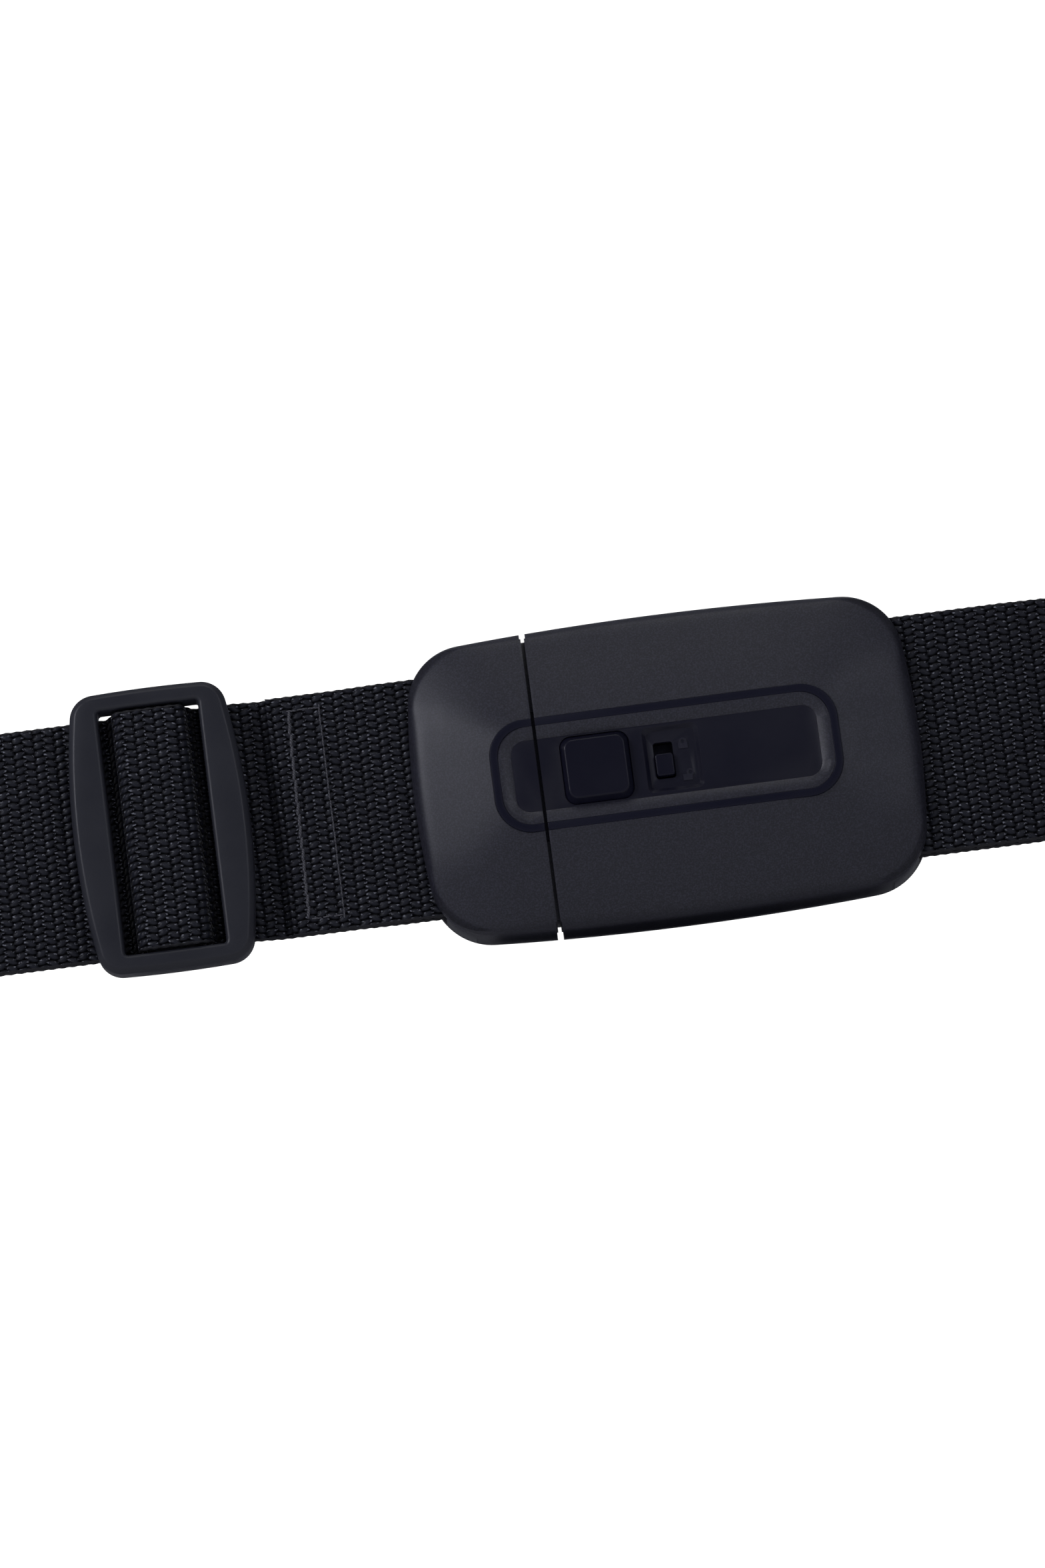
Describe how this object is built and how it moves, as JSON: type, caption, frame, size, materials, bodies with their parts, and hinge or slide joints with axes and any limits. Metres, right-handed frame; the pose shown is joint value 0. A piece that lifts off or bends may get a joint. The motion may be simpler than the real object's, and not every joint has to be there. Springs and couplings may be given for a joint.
{
  "type": "luggage strap",
  "caption": "Webbing belt that closes into a loop round a suitcase, with a push-button buckle, a lock slider and a tri-glide adjuster.",
  "frame": {"origin": "centre of the buckle's flat rear face, which bears on the case", "axes": "+X along the front run of the belt from the tongue half to the receiver half, +Z across the webbing, +Y from the buckle into the case"},
  "size_m": [0.3692, 0.1733, 0.0636],
  "materials": {
    "webbing": "woven polyester webbing, near black",
    "thread": "bonded polyester thread, near black",
    "charcoal_shell": "fine-grained satin charcoal plastic",
    "charcoal_button": "satin charcoal plastic",
    "charcoal_adjuster": "matte charcoal plastic",
    "navy_panel": "smooth navy plastic",
    "navy_trim": "smooth dark blue plastic",
    "black_acetal": "black moulded plastic",
    "steel": "zinc plated steel",
    "spring_steel": "bright spring steel"
  },
  "bodies": {
    "strap": {"webbing": "webbing", "box_stitching": "thread", "tongue_front_shell": "charcoal_shell", "tongue_rear_shell": "charcoal_shell", "tongue_plate": "steel", "tongue_panel": "navy_panel", "tongue_trim": "navy_trim", "tongue_screws": "steel"},
    "receiver": {"receiver_front_shell": "charcoal_shell", "receiver_rear_shell": "charcoal_shell", "receiver_plate": "steel", "control_panel": "navy_panel", "receiver_trim": "navy_trim", "guide_frame": "black_acetal", "receiver_screws": "steel", "latch_rivets": "steel", "button_springs": "spring_steel", "lock_detent_spring": "spring_steel"},
    "button": {"release_button": "charcoal_button"},
    "latch": {"latch_leaf": "spring_steel"},
    "lock": {"lock_slider": "charcoal_button"},
    "adjuster": {"adjuster_frame": "charcoal_adjuster", "webbing_fold": "webbing", "webbing_end_loop": "webbing"}
  },
  "joints": [
    {"name": "receiver_release", "type": "slide", "parent": "strap", "child": "receiver", "axis": [1, 0, 0], "range_m": [0, 0.0205], "deforming": ["latch_leaf"]},
    {"name": "button_press", "type": "slide", "parent": "receiver", "child": "button", "axis": [0, 1, 0], "range_m": [0, 0.0016], "stiffness_N_per_m": 900, "springref_m": -0.0008, "deforming": ["button_springs"]},
    {"name": "latch_flex", "type": "hinge", "parent": "receiver", "child": "latch", "pos_m": [0.01, -0.0053, 0], "axis": [0, 0, -1], "range_deg": [0, 3.83]},
    {"name": "lock_slide", "type": "slide", "parent": "receiver", "child": "lock", "axis": [0, 0, 1], "range_m": [0, 0.0022], "deforming": ["lock_detent_spring"]},
    {"name": "adjuster_slide", "type": "slide", "parent": "strap", "child": "adjuster", "axis": [-1, 0, 0], "range_m": [0, 0.045]}
  ],
  "couplings": [
    {"joint": "latch_flex", "follows": "button_press", "rad_per_m": 41.182}
  ]
}
